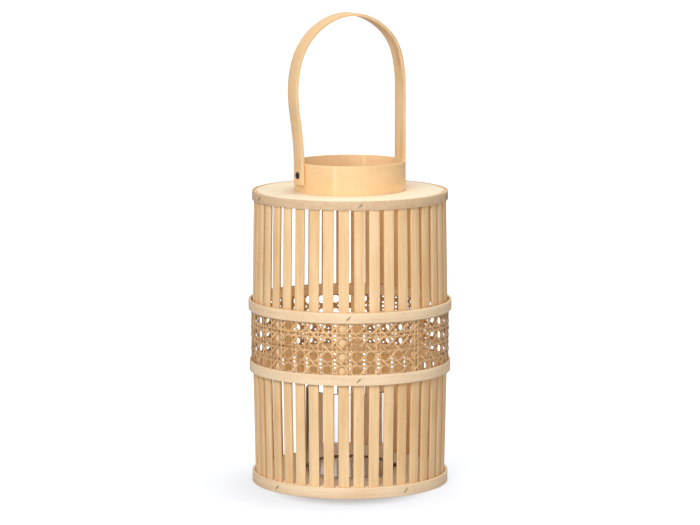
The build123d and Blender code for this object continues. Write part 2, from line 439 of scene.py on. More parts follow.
class Wiring:
    """Adds and joins the nodes of one node tree."""

    def __init__(self, tree):
        self.tree = tree
        self.column = 0

    def add(self, kind, sockets=None, **settings):
        """A node with these settings, and values or links for its named or numbered inputs."""
        node = self.tree.nodes.new(kind)
        node.location = (180 * self.column, 0)
        self.column += 1
        for key, value in settings.items():
            setattr(node, key, value)
        for key, value in (sockets or {}).items():
            self.give(node.inputs[key], value)
        return node

    def give(self, socket, value):
        """Sets a socket's value, or links it to another node's output."""
        if isinstance(value, bpy.types.NodeSocket):
            self.tree.links.new(value, socket)
        else:
            socket.default_value = value

    def math(self, operation, *values, clamp=False):
        """One sum of one or two values."""
        node = self.add("ShaderNodeMath", dict(enumerate(values)), operation=operation, use_clamp=clamp)
        return node.outputs[0]

    def between(self, value, from_low, from_high, to_low=0.0, to_high=1.0):
        """A value carried from one range to another, and held within it."""
        ends = {"From Min": from_low, "From Max": from_high, "To Min": to_low, "To Max": to_high}
        return self.add("ShaderNodeMapRange", {"Value": value, **ends}).outputs["Result"]

    def mix(self, share, first, second, blend="MIX"):
        """A mix of two colours."""
        node = self.add("ShaderNodeMix", data_type="RGBA", blend_type=blend)
        self.give(node.inputs[0], share)
        self.give(node.inputs[6], first)
        self.give(node.inputs[7], second)
        return node.outputs[2]

    def noise(self, vector, scale, detail=2.0, roughness=0.5):
        """A noise pattern's value."""
        node = self.add(
            "ShaderNodeTexNoise", {"Vector": vector, "Scale": scale, "Detail": detail, "Roughness": roughness}
        )
        return node.outputs["Fac"]

    def stretched_noise(self, vector, scales, detail=1.0, roughness=0.5):
        """A noise pattern's value, with a scale of its own along each axis."""
        times = self.add("ShaderNodeCombineXYZ", dict(enumerate(scales)))
        node = self.add("ShaderNodeVectorMath", {0: vector, 1: times.outputs[0]}, operation="MULTIPLY")
        return self.noise(node.outputs[0], 1.0, detail, roughness)

    def mark(self, name, output="Fac"):
        """What a piece's corners carry under a name."""
        return self.add("ShaderNodeAttribute", attribute_name=name).outputs[output]

    def place(self):
        """The point on the piece, in its own coordinates."""
        return self.add("ShaderNodeTexCoord").outputs["Object"]

    def bump(self, shader, strength, distance, height):
        """Raises a shader's surface by a pattern."""
        node = self.add("ShaderNodeBump", {"Strength": strength, "Distance": distance, "Height": height})
        self.give(shader.inputs["Normal"], node.outputs[0])


def group(name, inputs, outputs):
    """An empty shader group with these sockets, and its wiring, input node and output node."""
    tree = bpy.data.node_groups.new(name, "ShaderNodeTree")
    for title, kind, value in inputs:
        socket = tree.interface.new_socket(title, in_out="INPUT", socket_type=kind)
        socket.default_value = value
    for title, kind in outputs:
        tree.interface.new_socket(title, in_out="OUTPUT", socket_type=kind)
    wiring = Wiring(tree)
    return wiring, wiring.add("NodeGroupInput").outputs, wiring.add("NodeGroupOutput").inputs


COLOUR, NUMBER = "NodeSocketColor", "NodeSocketFloat"


def fibre_group():
    """Long fibres that follow the strip: pale and dark bands, fine dark lines and the strip's own tone.
    A tone above 1 darkens it further, which paints shade on the top hoop.
    """
    w, given, out = group(
        "wood_fibre",
        [
            ("Light", COLOUR, (0.9, 0.6, 0.3, 1)),
            ("Dark", COLOUR, (0.7, 0.4, 0.2, 1)),
            ("Fibre Width", NUMBER, 0.001),
            ("Fibre Length", NUMBER, 0.12),
            ("Contrast", NUMBER, 0.5),
            ("Mottle", NUMBER, 0.3),
        ],
        [("Color", COLOUR), ("Height", NUMBER), ("Fibre", NUMBER)],
    )
    strip = w.mark("grain", "Vector")
    tone = w.mark("tone")
    along = w.math("DIVIDE", 1.0, given["Fibre Length"])
    across = w.math("DIVIDE", 1.0, given["Fibre Width"])
    bands = w.stretched_noise(strip, (along, w.math("MULTIPLY", across, 0.3), across), 2.0)
    lines = w.stretched_noise(strip, (w.math("MULTIPLY", along, 2.0), across, across), 3.0, 0.6)
    patches = w.stretched_noise(strip, (22.0, 22.0, 22.0))
    fine = w.between(lines, 0.38, 0.68)
    broad = w.between(bands, 0.3, 0.7)
    cloud = w.between(patches, 0.35, 0.65, -0.5, 0.5)
    shade = w.math("ADD", w.math("MULTIPLY", fine, 0.45), w.math("MULTIPLY", broad, 0.55))
    shade = w.math("MULTIPLY", shade, given["Contrast"])
    shade = w.math("ADD", shade, w.math("MULTIPLY", cloud, given["Mottle"]))
    shade = w.math("ADD", shade, w.math("MULTIPLY", tone, 0.35), clamp=True)
    colour = w.mix(shade, given["Light"], given["Dark"])
    # Tones above 1 multiply the colour darker: painted shade on the top hoop, and a darker random tone on a
    # few cane strands.
    dark_tone_and_painted_shade = (0.75, 0.75, 0.78, 1)
    w.give(out["Color"], w.mix(w.between(tone, 1.0, 3.0), colour, dark_tone_and_painted_shade, "MULTIPLY"))
    w.give(out["Height"], fine)
    w.give(out["Fibre"], shade)
    return w.tree


def edge_highlight_and_shade_group():
    """Painted highlight on rounded edges: where the strip's corners are rounded, its colour turns paler.
    For cane the colour given is dark, and the same mask paints shade on its strands' sides and dives.
    """
    w, given, out = group(
        "painted_edge_highlight_and_shade",
        [("Color", COLOUR, (0.8, 0.6, 0.4, 1)), ("Pale", COLOUR, (1, 0.9, 0.7, 1)), ("Amount", NUMBER, 0.4)],
        [("Color", COLOUR), ("Mask", NUMBER)],
    )
    edge = w.mark("edge")
    place = w.place()
    broken = w.between(w.noise(place, 260.0, 2.0), 0.3, 0.6, 0.4, 1.0)
    mask = w.math("MULTIPLY", w.math("MULTIPLY", edge, broken), given["Amount"], clamp=True)
    w.give(out["Color"], w.mix(mask, given["Color"], given["Pale"]))
    w.give(out["Mask"], mask)
    return w.tree


def speck_group():
    """Small dark specks and faint knots, as in any natural strip."""
    w, given, out = group(
        "natural_specks",
        [
            ("Color", COLOUR, (0.8, 0.6, 0.4, 1)),
            ("Speck", COLOUR, (0.35, 0.2, 0.1, 1)),
            ("Amount", NUMBER, 0.5),
        ],
        [("Color", COLOUR)],
    )
    strip = w.mark("grain", "Vector")
    short = w.stretched_noise(strip, (90.0, 700.0, 700.0))
    mask = w.math("MULTIPLY", w.between(short, 0.70, 0.80), given["Amount"], clamp=True)
    w.give(out["Color"], w.mix(mask, given["Color"], given["Speck"]))
    return w.tree


def stain_group():
    """Brown streaks along the strip where it was bent hot."""
    w, given, out = group(
        "heat_stain",
        [("Color", COLOUR, (0.8, 0.6, 0.4, 1)), ("Stain", COLOUR, (0.42, 0.22, 0.09, 1))],
        [("Color", COLOUR)],
    )
    strip = w.mark("grain", "Vector")
    where = w.mark("stain")
    streaks = w.between(w.stretched_noise(strip, (26.0, 330.0, 330.0), 3.0), 0.36, 0.66)
    mask = w.math("MULTIPLY", w.between(where, 0.1, 0.9, 0.0, 0.85), streaks, clamp=True)
    w.give(out["Color"], w.mix(mask, given["Color"], given["Stain"]))
    return w.tree


def rgba(colour):
    """A colour property as the four numbers that a shader takes."""
    return (*colour, 1.0)


def new_material(name):
    """An empty material, its wiring and its main shader."""
    material = bpy.data.materials.new(name)
    material.use_nodes = True
    material.node_tree.nodes.clear()
    wiring = Wiring(material.node_tree)
    shader = wiring.add("ShaderNodeBsdfPrincipled")
    output = wiring.add("ShaderNodeOutputMaterial")
    wiring.give(output.inputs["Surface"], shader.outputs[0])
    return material, wiring, shader


def use_group(wiring, tree, sockets):
    """A placed copy of a shader group."""
    node = wiring.add("ShaderNodeGroup", node_tree=tree)
    for key, value in sockets.items():
        wiring.give(node.inputs[key], value)
    return node.outputs


def wood(
    name, light, dark, width, length, contrast, rough, pale=0.35, specks=0.4, coat=0.12, depth=0.12,
    edge=None, mottle=0.3,
):
    """A strip of bamboo, cane or wood with fibres, a painted highlight along its edges (painted shade for
    cane), specks and a satin lacquer.
    """
    material, w, shader = new_material(name)
    fibre = use_group(w, SHARED["fibre"], {
        "Light": rgba(light), "Dark": rgba(dark), "Fibre Width": width, "Fibre Length": length,
        "Contrast": contrast, "Mottle": mottle,
    })
    stained = use_group(w, SHARED["stain"], {"Color": fibre["Color"]})
    speck_colour = rgba([c * 0.45 for c in dark])
    specked = use_group(
        w, SHARED["specks"], {"Color": stained["Color"], "Speck": speck_colour, "Amount": specks}
    )
    # The colour painted on rounded edges: paler as a painted highlight, unless a dark edge colour paints
    # shade.
    edge_colour = rgba(edge or [min(1.0, c * 1.05 + 0.10) for c in light])
    painted_edges = use_group(w, SHARED["edge"], {"Color": specked["Color"], "Pale": edge_colour, "Amount": pale})
    w.give(shader.inputs["Base Color"], painted_edges["Color"])
    w.give(shader.inputs["Roughness"], w.between(fibre["Fibre"], 0.0, 1.0, rough, rough + 0.14))
    w.bump(shader, depth, 0.2 * MM, fibre["Height"])
    shader.inputs["Coat Weight"].default_value = coat
    shader.inputs["Coat Roughness"].default_value = 0.28
    shader.inputs["Specular IOR Level"].default_value = 0.4
    return material


def scorched_material(colour):
    """The brown, sooty wall that a laser leaves in plywood."""
    material, w, shader = new_material("scorched_edge")
    place = w.place()
    soot = w.stretched_noise(place, (500.0, 500.0, 1400.0), 2.0)
    brown = rgba([min(1.0, c * 3.2) for c in colour])
    w.give(shader.inputs["Base Color"], w.mix(w.between(soot, 0.4, 0.75, 0.0, 0.8), rgba(colour), brown))
    shader.inputs["Roughness"].default_value = 0.75
    return material


def metal_material(name, colour, rough, metallic):
    """Dull metal with a faint uneven finish."""
    material, w, shader = new_material(name)
    place = w.place()
    cloud = w.noise(place, 900.0, 3.0)
    paler = rgba([min(1.0, c * 2.0 + 0.01) for c in colour])
    w.give(shader.inputs["Base Color"], w.mix(w.between(cloud, 0.45, 0.75, 0.0, 0.7), rgba(colour), paler))
    w.give(shader.inputs["Roughness"], w.between(cloud, 0.3, 0.7, rough, rough + 0.2))
    w.bump(shader, 0.15, 0.1 * MM, cloud)
    shader.inputs["Metallic"].default_value = metallic
    return material


def glass_material():
    """Clear glass with a breath of unevenness in its surface."""
    material, w, shader = new_material("clear_glass")
    place = w.place()
    wave = w.stretched_noise(place, (30.0, 30.0, 60.0))
    w.bump(shader, 0.10, 0.8 * MM, wave)
    w.give(shader.inputs["Roughness"], w.between(wave, 0.3, 0.7, 0.0, 0.03))
    shader.inputs["Base Color"].default_value = (1.0, 1.0, 1.0, 1)
    shader.inputs["Transmission Weight"].default_value = 1.0
    shader.inputs["IOR"].default_value = 1.5
    return material


# The floor's painted glow is weakest round this point, under the lantern's front: a painted contact
# shadow. Each ramp gives two distances from it, and what the glow gains at the first and by the second.
SHADOW_MIDDLE = (-0.024, -0.044, 0)
GLOW_AND_SHADOW_RAMPS = ((0.047, 0.070, 0.06, 0.44), (0.070, 0.125, 0.0, 0.14), (0.125, 0.5, 0.0, 0.40))


def floor_material(colour):
    """A white studio table with a painted glow, lowered under the lantern's front into a painted contact
    shadow. Its glow is seen, but doesn't light the lantern.
    """
    material, w, shader = new_material("studio_floor")
    place = w.place()
    cloud = w.between(w.noise(place, 3.0, 2.0), 0.3, 0.7, 0.98, 1.0)
    w.give(shader.inputs["Base Color"], w.mix(cloud, rgba([c * 0.96 for c in colour]), rgba(colour)))
    shader.inputs["Roughness"].default_value = 0.7
    shader.inputs["Emission Color"].default_value = (0.95, 0.97, 1.0, 1)
    ray = w.add("ShaderNodeLightPath").outputs
    seen = w.math("MAXIMUM", ray["Is Camera Ray"], ray["Is Transmission Ray"])
    gap = w.add("ShaderNodeVectorMath", {0: place, 1: SHADOW_MIDDLE}, operation="DISTANCE")
    glow = 0.0
    for ramp in GLOW_AND_SHADOW_RAMPS:
        glow = w.math("ADD", glow, w.between(gap.outputs["Value"], *ramp))
    # Painted glow, with a painted contact shadow where it dips near SHADOW_MIDDLE.
    w.give(shader.inputs["Emission Strength"], w.math("MULTIPLY", seen, glow))
    return material


SHARED = {}
MATERIALS = {}


def make_materials(colours):
    """Every group and material of the lantern, made once."""
    c = colours
    SHARED.update(fibre=fibre_group(), edge=edge_highlight_and_shade_group(), specks=speck_group(), stain=stain_group())
    # pale is how strongly each material's edges are painted: highlight on the woods, shade on the cane.
    MATERIALS.update(
        slat=wood(
            "planed_bamboo_slat", c.slat_light, c.slat_dark, width=1.4 * MM, length=0.12, contrast=1.0,
            rough=0.44, mottle=0.4,
        ),
        hoop=wood(
            "planed_bamboo_hoop", c.hoop_light, c.hoop_dark, width=1.3 * MM, length=0.11, contrast=1.0,
            rough=0.42, pale=0.8, mottle=0.45,
        ),
        strap=wood(
            "bent_wood_strip", c.strap_light, c.strap_dark, width=1.3 * MM, length=0.10, contrast=0.45,
            rough=0.40, pale=0.9, mottle=0.6,
        ),
        disc=wood(
            "sanded_plywood", c.disc_light, c.disc_dark, width=1.6 * MM, length=0.05, contrast=0.35,
            rough=0.55, specks=0.15, coat=0.0,
        ),
        cane=wood(
            "woven_cane", c.cane_light, c.cane_dark, width=0.4 * MM, length=0.03, contrast=0.60,
            rough=0.30, pale=0.85, coat=0.5, depth=0.3, edge=c.cane_painted_shade,
        ),
        scorched=scorched_material(c.scorched),
        rivet=metal_material("bronzed_rivet_steel", c.rivet_dark, rough=0.32, metallic=0.9),
        staple=metal_material("staple_wire", c.staple_grey, rough=0.40, metallic=0.8),
        glass=glass_material(),
        floor=floor_material(c.floor_white),
    )


# ---- slats

SLAT_LEVEL_STEP = 15 * MM
WIDTH_SPREAD = 0.025
TURN_SPREAD = math.radians(0.25)
TONE_SPREAD = 0.4
# A post and the four slats that follow it.
PITCHES_PER_POST = 5


def face_radius(z):
    """Distance from the axis to a slat's outer face at a height."""
    for (z_low, r_low), (z_high, r_high) in zip(SLAT_LINE, SLAT_LINE[1:]):
        if z <= z_high:
            return r_low + (r_high - r_low) * (z - z_low) / (z_high - z_low)
    return SLAT_LINE[-1][1]


def slat_pattern(name, z_low, z_high, rounding):
    """One slat standing at angle 0, planed to the barrel's line, with rounded edges."""
    slat = block(name, (-SLAT_THICK, -SLAT_WIDTH / 2, z_low), (0, SLAT_WIDTH / 2, z_high))
    cut_into(slat, 2, round((z_high - z_low) / SLAT_LEVEL_STEP))
    levels = levels_along(slat, 2)
    with edit(slat):
        for z in levels:
            shift_level(slat, 2, z, (face_radius(z), 0, 0))
    round_edges(slat, rounding)
    mark_edges(slat)
    smooth(slat)
    return slat


def stand_slat(pattern, name, angle, chance, unevenness):
    """A copy of a slat at its angle, with its own width, lean, tone and stretch of bamboo."""
    width = 1 + WIDTH_SPREAD * unevenness * chance.uniform(-1, 1)
    turn = TURN_SPREAD * unevenness * chance.uniform(-1, 1)
    tone = unevenness * chance.gauss(0, TONE_SPREAD)
    offset = Vector((chance.uniform(0, 3), chance.uniform(0, 3), chance.uniform(0, 3)))
    made = copy_of(pattern, name, Matrix.Diagonal((1, width, 1, 1)))
    mark_grain(made, lambda p: Vector((p.z, p.y, p.x)) + offset, max(-1.0, min(1.0, tone)))
    made.data.transform(Matrix.Rotation(angle + turn, 4, "Z"))
    return made


class LANTERN_OT_slats(bpy.types.Operator):
    """Eight full-height posts, and the short slats between them above and below the cane"""

    bl_idname = "lantern.slats"
    bl_label = "Slats and posts"

    def execute(self, context):
        sizes = context.scene.lantern_sizes
        chance = random.Random(11)
        step = 2 * math.pi / (len(POSTS) * PITCHES_PER_POST)
        rows = (("post_", "post", 1), ("upper_slats_", "upper_slat", 4), ("lower_slats_", "lower_slat", 4))
        for start, title, count in rows:
            names = nodes_named(start)
            pattern = slat_pattern(f"{title}_pattern", *heights(names[0]), sizes.slat_rounding)
            for number, node in enumerate(names):
                first = FIRST_POST_ANGLE + number * PITCHES_PER_POST * step + (step if count > 1 else 0)
                slats = [
                    stand_slat(pattern, f"{title}_{number}_{i}", first + i * step, chance, sizes.unevenness)
                    for i in range(count)
                ]
                group_name = f"bamboo_{title}{'s' if count > 1 else ''}_{number + 1}"
                hand_over(join(slats, group_name), "cage", "bamboo_slat", MATERIALS["slat"], node)
            remove(pattern)
        return {"FINISHED"}


# ---- hoops


class LANTERN_OT_hoops(bpy.types.Operator):
    """Four hoops outside the slats and two inside, each bent round and joined away from the front"""

    bl_idname = "lantern.hoops"
    bl_label = "Hoops"

    seams_and_tones = {
        # The top hoop's tone of 2.4 gives it darker wood and, beyond tone 1, painted shade.
        "top_hoop": (64, 2.4),
        "upper_hoop": (38, 0.1),
        "lower_hoop": (92, -0.2),
        "bottom_hoop": (20, 0.0),
        "upper_inner_hoop": (130, 0.6),
        "lower_inner_hoop": (160, 0.6),
    }

    def execute(self, context):
        sizes = context.scene.lantern_sizes
        for node, (seam, tone) in self.seams_and_tones.items():
            name = f"bent_{node}"
            hoop = bent_strip(
                name, *radii(node), *heights(node), math.radians(seam), sizes.hoop_joint_gap,
                sizes.hoop_joint_slant, sizes.hoop_rounding, tone,
            )
            hand_over(hoop, "cage", "bamboo_hoop", MATERIALS["hoop"], node)
        return {"FINISHED"}


# ---- woven cane


class Weave:
    """The flat layout of half-inch cane webbing before it is wrapped round the slats. The rows are drawn
    as far apart as the columns, and are brought to their own pitch at the end."""

    columns = 43.2
    seam_angle = 285.6
    pair_angle = 232.8
    rise_share = 0.55
    slant_rise_share = 0.95

    def __init__(self, sizes):
        self.radius = (CANE_INNER + CANE_OUTER) / 2
        self.wide = 2 * math.pi * self.radius / self.columns
        self.half = math.pi * self.radius - sizes.cane_seam_gap / 2
        self.squash = sizes.cane_row_pitch / self.wide
        self.middle = (CANE_LOW + CANE_HIGH) / 2 - sizes.cane_row_drop
        self.low = self.middle - (self.middle - CANE_LOW) / self.squash
        self.high = self.middle + (CANE_HIGH - self.middle) / self.squash
        self.half_pair = sizes.cane_pair_gap / 2
        self.thick = sizes.cane_strand_thick
        self.width = sizes.cane_straight_width
        self.slant_width = sizes.cane_slant_width
        self.wander = sizes.cane_wander
        self.rise = self.rise_share * self.thick
        self.slant_rise = self.slant_rise_share * self.thick
        self.rows = [self.middle + (i - 2) * self.wide for i in range(5)]
        turn = math.radians(self.pair_angle - self.seam_angle) + math.pi
        place = turn * self.radius
        self.first = place - math.floor((place + self.half) / self.wide) * self.wide

    def over_and_under(self, place):
        """How far a straight strand rises as it passes the two strands of a crossing pair."""
        near = (place + self.wide / 2) % self.wide - self.wide / 2
        if abs(near) > 2 * self.half_pair:
            return 0.0
        return self.rise * math.sin(math.pi * near / (2 * self.half_pair))


def strand(name, length, width, thick, lengths, lift):
    """One flat strand along Z from 0, its outer face domed, that rises by lift(z) towards -Y. Its sides
    and the lengths that dive under other strands are marked as edges, where painted shade goes."""

    def is_outer_corner(p):
        return p.y < 0 and abs(p.x) > width / 4

    made = block(name, (-width / 2, -thick / 2, 0), (width / 2, thick / 2, length))
    with edit(made):
        choose(made, "EDGE", lambda e: span(e, 0) > width / 2)
        bpy.ops.mesh.subdivide(number_cuts=1)
        choose(made, "VERT", lambda v: abs(v.co.x) < width / 4 and v.co.y < 0)
        bpy.ops.transform.translate(value=(0, -0.25 * thick, 0))
        choose(made, "EDGE", lambda e: span(e, 2) > length / 2 and is_outer_corner(e.verts[0].co))
        bpy.ops.mesh.bevel(offset=0.5 * thick, segments=1, affect="EDGES")
    cut_into(made, 2, lengths)
    # Painted shade: the strand's sides and its dives under crossing strands are marked to be darkened.
    sides = [(2 * abs(v.co.x) / width) ** 2 for v in made.data.vertices]
    dives = [max(0.0, -lift(v.co.z) / thick) for v in made.data.vertices]
    shades = [min(1.0, 0.8 * side + 0.7 * dive) for side, dive in zip(sides, dives)]
    write_marks(made.data, "edge", "FLOAT", "value", shades)
    levels = levels_along(made, 2)
    with edit(made):
        for z in levels:
            shift_level(made, 2, z, (0, -lift(z), 0))
    return made


def row_of(made, count, step):
    """Repeats a strand side by side."""
    apply_modifier(
        made, "ARRAY", count=count, use_relative_offset=False, use_constant_offset=True,
        constant_offset_displace=step,
    )


def mark_strands(made, per_strand, lean, chance):
    """Gives each strand of a row its own stretch of cane and its own tone. lean turns the grain with it."""
    turn = Matrix.Rotation(lean, 3, "Y")
    vectors, tones = [], []
    for v in made.data.vertices:
        if v.index % per_strand == 0:
            offset = Vector((chance.uniform(0, 3), chance.uniform(0, 3), 0))
            tone = max(-1.5, min(1.5, chance.gauss(0, 0.8)))
        flat = turn @ v.co
        vectors.extend(Vector((flat.z, flat.x, flat.y)) + offset)
        tones.append(tone)
    write_marks(made.data, "grain", "FLOAT_VECTOR", "vector", vectors)
    write_marks(made.data, "tone", "FLOAT", "value", tones)


def trim(made, half):
    """Cuts a flat panel off square at both ends, and closes the cut strands."""
    with edit(made):
        for side in (-1, 1):
            bpy.ops.mesh.select_all(action="SELECT")
            bpy.ops.mesh.bisect(
                plane_co=(side * half, 0, 0), plane_no=(side, 0, 0), use_fill=True, clear_outer=True
            )


class LANTERN_OT_webbing(bpy.types.Operator):
    """The band of woven cane: pairs of upright and level strands, and slanted strands both ways"""

    bl_idname = "lantern.webbing"
    bl_label = "Cane webbing"

    def upright(self, weave, side, place, count, chance):
        """Upright strands from one place along the band: the left or the right one of every pair."""
        made = strand(
            "upright", weave.high - weave.low, weave.width, weave.thick, 48,
            lambda z: side * weave.over_and_under(weave.low + z - weave.rows[0]),
        )
        corners_each = len(made.data.vertices)
        made.data.transform(Matrix.Translation((place, 0, weave.low)))
        if count > 1:
            row_of(made, count, (weave.wide, 0, 0))
        mark_strands(made, corners_each, 0.0, chance)
        return made

    def rounds(self, weave, side, chance):
        """The lower or the upper strand of every level pair."""
        made = strand(
            "round", 2 * weave.half, weave.width, weave.thick, 440,
            lambda z: side * weave.over_and_under(z - weave.half - weave.first),
        )
        corners_each = len(made.data.vertices)
        made.data.transform(Matrix.Rotation(math.pi / 2, 4, "Y"))
        made.data.transform(Matrix.Translation((-weave.half, 0, weave.rows[0] + side * weave.half_pair)))
        row_of(made, len(weave.rows), (0, 0, weave.wide))
        mark_strands(made, corners_each, -math.pi / 2, chance)
        return made

    def slants(self, weave, way, chance):
        """Every strand that leans one way: 1 rises to the right, -1 to the left."""
        tall = weave.high - weave.low
        phase = (weave.low - weave.rows[0]) / weave.wide
        made = strand(
            "slant", tall * math.sqrt(2), weave.slant_width, weave.thick, 48,
            lambda z: way * weave.slant_rise * math.cos(
                2 * math.pi * (z / math.sqrt(2) / weave.wide + phase - 0.5)
            ),
        )
        corners_each = len(made.data.vertices)
        made.data.transform(Matrix.Rotation(way * math.pi / 4, 4, "Y"))
        extra = math.ceil(tall / weave.wide) + 1
        first = weave.first + way * (phase - 0.5) * weave.wide
        start = first - (extra * weave.wide if way > 0 else 0)
        made.data.transform(Matrix.Translation((start, 0, weave.low)))
        row_of(made, math.ceil(2 * weave.half / weave.wide) + extra + 1, (weave.wide, 0, 0))
        mark_strands(made, corners_each, -way * math.pi / 4, chance)
        trim(made, weave.half)
        return made

    def wander(self, made, amount):
        """Lets strands wander a little together, as hand-woven cane does."""
        for axis in ("X", "Z"):
            cloud = bpy.data.textures.new(f"wander_{axis}", "CLOUDS")
            cloud.noise_scale = 0.016 if axis == "X" else 0.021
            apply_modifier(made, "DISPLACE", texture=cloud, direction=axis, strength=amount, mid_level=0.5)

    def execute(self, context):
        weave = Weave(context.scene.lantern_sizes)
        chance = random.Random(23)
        pairs = math.floor((weave.half - weave.half_pair - weave.width - weave.first) / weave.wide) + 1
        border = weave.half - weave.width
        both = (-1, 1)
        uprights = [
            self.upright(weave, side, weave.first - side * weave.half_pair, pairs, chance) for side in both
        ]
        borders = [self.upright(weave, side, side * border, 1, chance) for side in both]
        parts = {
            "cane_uprights": uprights + borders,
            "cane_rounds": [self.rounds(weave, side, chance) for side in both],
            "cane_rising_strands": [self.slants(weave, 1, chance)],
            "cane_falling_strands": [self.slants(weave, -1, chance)],
        }
        level = Matrix.Translation((0, 0, weave.middle))
        squash = level @ Matrix.Diagonal((1, 1, weave.squash, 1)) @ level.inverted()
        for name, strands in parts.items():
            made = join(strands, name)
            made.data.transform(squash)
            self.wander(made, weave.wander)
            wrap_round(made, weave.radius, math.radians(weave.seam_angle) + math.pi)
            smooth(made, 50)
            hand_over(made, "cage", "cane_webbing", MATERIALS["cane"])
        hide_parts("cane_band")
        return {"FINISHED"}


# ---- discs


class LANTERN_OT_discs(bpy.types.Operator):
    """The top disc, the base ring with its scorched recess wall, and the base floor"""

    bl_idname = "lantern.discs"
    bl_label = "Top and base discs"

    floor_inset = 4 * MM

    def finish(self, plate, node, rounding):
        """Rounds a disc's edges, marks its grain, which runs along X, and hands it over."""
        round_edges(plate, rounding)
        mark_edges(plate)
        mark_grain(plate, lambda p: (p.x, p.y, p.z))
        smooth(plate)
        hand_over(plate, "cage", "pale_ply", MATERIALS["disc"], node)

    def scorch(self, plate, inner):
        """Gives the wall of a plate's hole its scorched finish."""
        plate.data.materials.append(MATERIALS["scorched"])
        for face in plate.data.polygons:
            middle = face.center
            if abs(face.normal.z) < 0.5 and math.hypot(middle.x, middle.y) < inner + 0.1 * MM:
                face.material_index = 1

    def execute(self, context):
        rounding = context.scene.lantern_sizes.disc_rounding
        for node, name in (("top_disc", "ply_top_disc"), ("base_ring", "ply_base_ring")):
            inner, outer = radii(node)
            plate = ring_plate(name, inner, outer, *heights(node))
            self.finish(plate, node, rounding)
            self.scorch(plate, inner)
        floor = round_blank("ply_base_floor", radii("base_floor")[1], *heights("base_floor"), DISC_SIDES)
        with edit(floor):
            choose(floor, "FACE", lambda f: abs(f.normal.z) > 0.9)
            bpy.ops.mesh.inset(thickness=self.floor_inset)
        self.finish(floor, "base_floor", rounding)
        return {"FINISHED"}


# ---- collar, handle, fittings


class LANTERN_OT_collar(bpy.types.Operator):
    """The round neck, two plies bent round with their joints opposite each other"""

    bl_idname = "lantern.collar"
    bl_label = "Collar"

    plies = {
        "outer_ply": {"seam": 226, "gap": 0.02 * MM, "tone": 0.35, "end_tone": 0.12},
        "inner_ply": {"seam": 46, "gap": 0.03 * MM, "tone": 0.2, "end_tone": -0.30},
    }

    def execute(self, context):
        rounding = context.scene.lantern_sizes.collar_rounding
        inner, outer = radii("collar")
        middle = (inner + outer) / 2
        walls = {"outer_ply": (middle, outer), "inner_ply": (inner, middle)}
        bent = [
            bent_strip(
                name, *walls[name], *heights("collar"), math.radians(ply["seam"]), ply["gap"], 0, rounding,
                ply["tone"], ply["end_tone"],
            )
            for name, ply in self.plies.items()
        ]
        hand_over(join(bent, "bent_collar"), "cage", "bent_veneer", MATERIALS["strap"], "collar")
        return {"FINISHED"}


class LANTERN_OT_handle(bpy.types.Operator):
    """The bent strap, with rounded edges and its grain running round the arch"""

    bl_idname = "lantern.handle"
    bl_label = "Handle"

    hot_bend = math.radians(70)
    hot_spread = math.radians(38)

    def execute(self, context):
        strap = copy_of_node("handle", "bent_handle")
        round_edges(strap, context.scene.lantern_sizes.strap_rounding, 3, 50)
        low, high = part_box("handle")
        half = (high.x - low.x) / 2
        shoulder = high.z - half

        def along_the_strap(p):
            """Round the arch by angle, and down each leg by height."""
            if p.z > shoulder:
                return Vector((half * math.atan2(p.x, p.z - shoulder), p.y, math.hypot(p.x, p.z - shoulder)))
            side = math.copysign(1, p.x)
            return Vector((side * (half * math.pi / 2 + shoulder - p.z), p.y, abs(p.x)))

        def heat_of(p):
            """The right shoulder, towards the strap's near edge, where it was bent hot."""
            bend = math.atan2(p.x, p.z - shoulder)
            share = math.exp(-(((bend - self.hot_bend) / self.hot_spread) ** 2))
            return share * (0.5 - p.y / (high.y - low.y)) if p.x > 0 else 0.0

        mark_edges(strap)
        mark_grain(strap, along_the_strap, 0.3)
        write_marks(strap.data, "stain", "FLOAT", "value", [heat_of(v.co) for v in strap.data.vertices])
        smooth(strap, 30)
        hand_over(strap, "handle", "bent_veneer", MATERIALS["strap"], "handle")
        return {"FINISHED"}


def lay_across(made, place, way):
    """Turns a piece that stands on the Z axis to lie along X at the rivets' height, pointing outwards
    where way is its own side's sign."""
    turn = Matrix.Rotation(way * math.pi / 2, 4, "Y")
    made.data.transform(Matrix.Translation((place, 0, PIVOT_HEIGHT)) @ turn)


